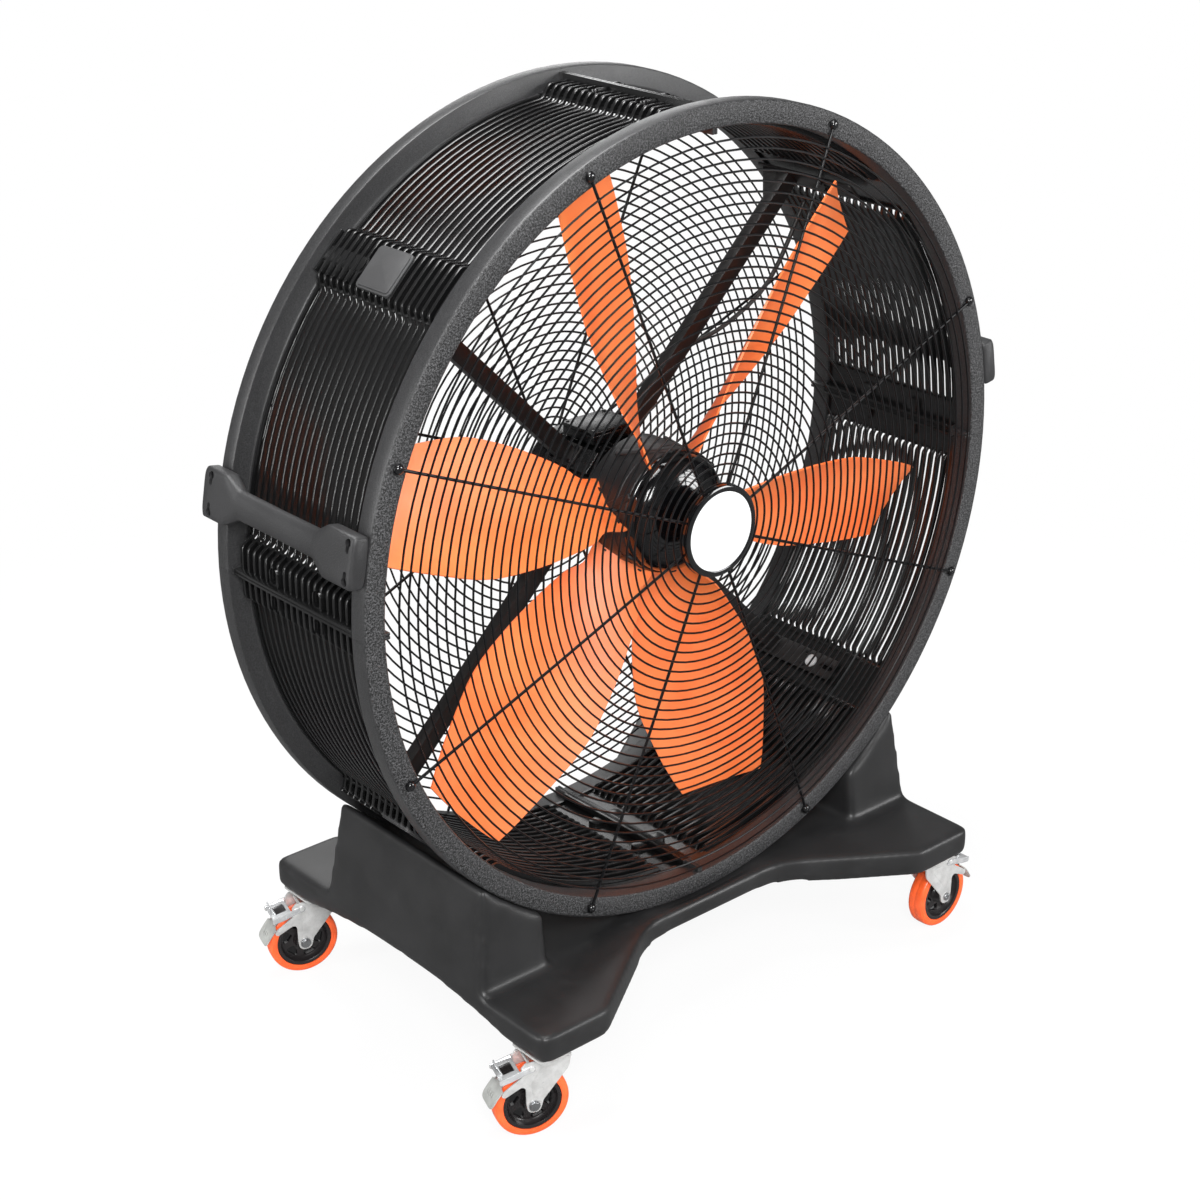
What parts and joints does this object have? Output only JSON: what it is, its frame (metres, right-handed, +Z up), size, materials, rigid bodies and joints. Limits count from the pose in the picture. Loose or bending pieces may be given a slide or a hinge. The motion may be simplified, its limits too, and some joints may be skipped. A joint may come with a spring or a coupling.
{
  "type": "drum fan",
  "caption": "Large portable drum fan: ribbed black drum with wire guards and an orange bladed impeller, cradled in a moulded base on braked swivel casters.",
  "frame": {"origin": "on the floor under the middle of the fan", "axes": "+Z up; the air leaves towards -Y, the guarded front; +X is to the right seen from the front; the impeller turns about Y, 0.8755 m above the floor"},
  "size_m": [1.3958, 0.734, 1.5505],
  "materials": {
    "drum_plastic": "black moulded plastic, fine speckled grain on the rim faces",
    "base_plastic": "black rotomoulded plastic, satin",
    "handle_plastic": "dark grey-black moulded plastic",
    "gloss_black": "polished black plastic",
    "guard_wire": "black powder-coated steel wire",
    "badge_white": "plain white, bare",
    "blade_orange": "satin orange plastic",
    "hub_grey": "dark grey painted casting",
    "motor_paint": "black painted aluminium and steel",
    "strut_paint": "black powder coat",
    "steel": "bright steel",
    "capacitor_can": "plain can",
    "winding": "lacquered copper windings in a steel core",
    "zinc": "bright zinc plate",
    "tyre_orange": "orange polyurethane",
    "core_black": "black moulded plastic",
    "cable_black": "black sheathed cable"
  },
  "bodies": {
    "frame": {"base": "base_plastic", "drum_upper_right": "drum_plastic", "drum_upper_left": "drum_plastic", "drum_lower_left": "drum_plastic", "drum_lower_right": "drum_plastic", "front_guard": "guard_wire", "rear_guard": "guard_wire", "badge_plate": "gloss_black", "badge_disc": "badge_white", "handle_right": "handle_plastic", "handle_left": "handle_plastic", "strut_upper_right": "strut_paint", "strut_upper_left": "strut_paint", "strut_lower_left": "strut_paint", "strut_lower_right": "strut_paint", "motor_housing": "motor_paint", "stator": "winding", "end_shield_front": "motor_paint", "end_shield_rear": "motor_paint", "bearing_front": "steel", "bearing_rear": "steel", "motor_cowl": "motor_paint", "terminal_box": "motor_paint", "capacitor": "capacitor_can", "motor_lead": "cable_black", "caster_front_left_plate": "zinc", "caster_rear_left_plate": "zinc", "caster_front_right_plate": "zinc", "caster_rear_right_plate": "zinc"},
    "impeller": {"hub": "hub_grey", "hub_cap": "gloss_black", "blade_1": "blade_orange", "blade_2": "blade_orange", "blade_3": "blade_orange", "blade_4": "blade_orange", "blade_5": "blade_orange", "blade_6": "blade_orange", "motor_shaft": "steel", "rotor": "steel", "cooling_fan": "core_black"},
    "front_left_swivel": {"caster_front_left_fork": "zinc", "caster_front_left_axle": "steel"},
    "front_left_wheel": {"caster_front_left_tyre": "tyre_orange", "caster_front_left_core": "core_black"},
    "front_left_pedal": {"caster_front_left_pedal": "zinc"},
    "rear_left_swivel": {"caster_rear_left_fork": "zinc", "caster_rear_left_axle": "steel"},
    "rear_left_wheel": {"caster_rear_left_tyre": "tyre_orange", "caster_rear_left_core": "core_black"},
    "rear_left_pedal": {"caster_rear_left_pedal": "zinc"},
    "front_right_swivel": {"caster_front_right_fork": "zinc", "caster_front_right_axle": "steel"},
    "front_right_wheel": {"caster_front_right_tyre": "tyre_orange", "caster_front_right_core": "core_black"},
    "front_right_pedal": {"caster_front_right_pedal": "zinc"},
    "rear_right_swivel": {"caster_rear_right_fork": "zinc", "caster_rear_right_axle": "steel"},
    "rear_right_wheel": {"caster_rear_right_tyre": "tyre_orange", "caster_rear_right_core": "core_black"},
    "rear_right_pedal": {"caster_rear_right_pedal": "zinc"}
  },
  "joints": [
    {"name": "impeller_spin", "type": "hinge", "parent": "frame", "child": "impeller", "pos_m": [0, -0.068, 0.8755], "axis": [0, -1, 0], "continuous": true},
    {"name": "front_left_swivel", "type": "hinge", "parent": "frame", "child": "front_left_swivel", "pos_m": [-0.443, -0.315, 0.14], "axis": [0, 0, 1], "continuous": true},
    {"name": "front_left_roll", "type": "hinge", "parent": "front_left_swivel", "child": "front_left_wheel", "pos_m": [-0.47683, -0.30269, 0.0625], "axis": [-0.342, -0.9397, 0], "continuous": true},
    {"name": "front_left_brake", "type": "hinge", "parent": "front_left_swivel", "child": "front_left_pedal", "pos_m": [-0.48059, -0.30132, 0.134], "axis": [-0.342, -0.9397, 0], "range_deg": [0, 16]},
    {"name": "rear_left_swivel", "type": "hinge", "parent": "frame", "child": "rear_left_swivel", "pos_m": [-0.443, 0.315, 0.14], "axis": [0, 0, 1], "continuous": true},
    {"name": "rear_left_roll", "type": "hinge", "parent": "rear_left_swivel", "child": "rear_left_wheel", "pos_m": [-0.47743, 0.32553, 0.0625], "axis": [-0.2924, -0.9563, 0], "continuous": true},
    {"name": "rear_left_brake", "type": "hinge", "parent": "rear_left_swivel", "child": "rear_left_pedal", "pos_m": [-0.48125, 0.3267, 0.134], "axis": [-0.2924, -0.9563, 0], "range_deg": [0, 16]},
    {"name": "front_right_swivel", "type": "hinge", "parent": "frame", "child": "front_right_swivel", "pos_m": [0.443, -0.315, 0.14], "axis": [0, 0, 1], "continuous": true},
    {"name": "front_right_roll", "type": "hinge", "parent": "front_right_swivel", "child": "front_right_wheel", "pos_m": [0.47898, -0.31374, 0.0625], "axis": [-0.0349, 0.9994, 0], "continuous": true},
    {"name": "front_right_brake", "type": "hinge", "parent": "front_right_swivel", "child": "front_right_pedal", "pos_m": [0.48298, -0.3136, 0.134], "axis": [-0.0349, 0.9994, 0], "range_deg": [0, 16]},
    {"name": "rear_right_swivel", "type": "hinge", "parent": "frame", "child": "rear_right_swivel", "pos_m": [0.443, 0.315, 0.14], "axis": [0, 0, 1], "continuous": true},
    {"name": "rear_right_roll", "type": "hinge", "parent": "rear_right_swivel", "child": "rear_right_wheel", "pos_m": [0.47821, 0.32249, 0.0625], "axis": [-0.2079, 0.9781, 0], "continuous": true},
    {"name": "rear_right_brake", "type": "hinge", "parent": "rear_right_swivel", "child": "rear_right_pedal", "pos_m": [0.48213, 0.32332, 0.134], "axis": [-0.2079, 0.9781, 0], "range_deg": [0, 16]}
  ]
}
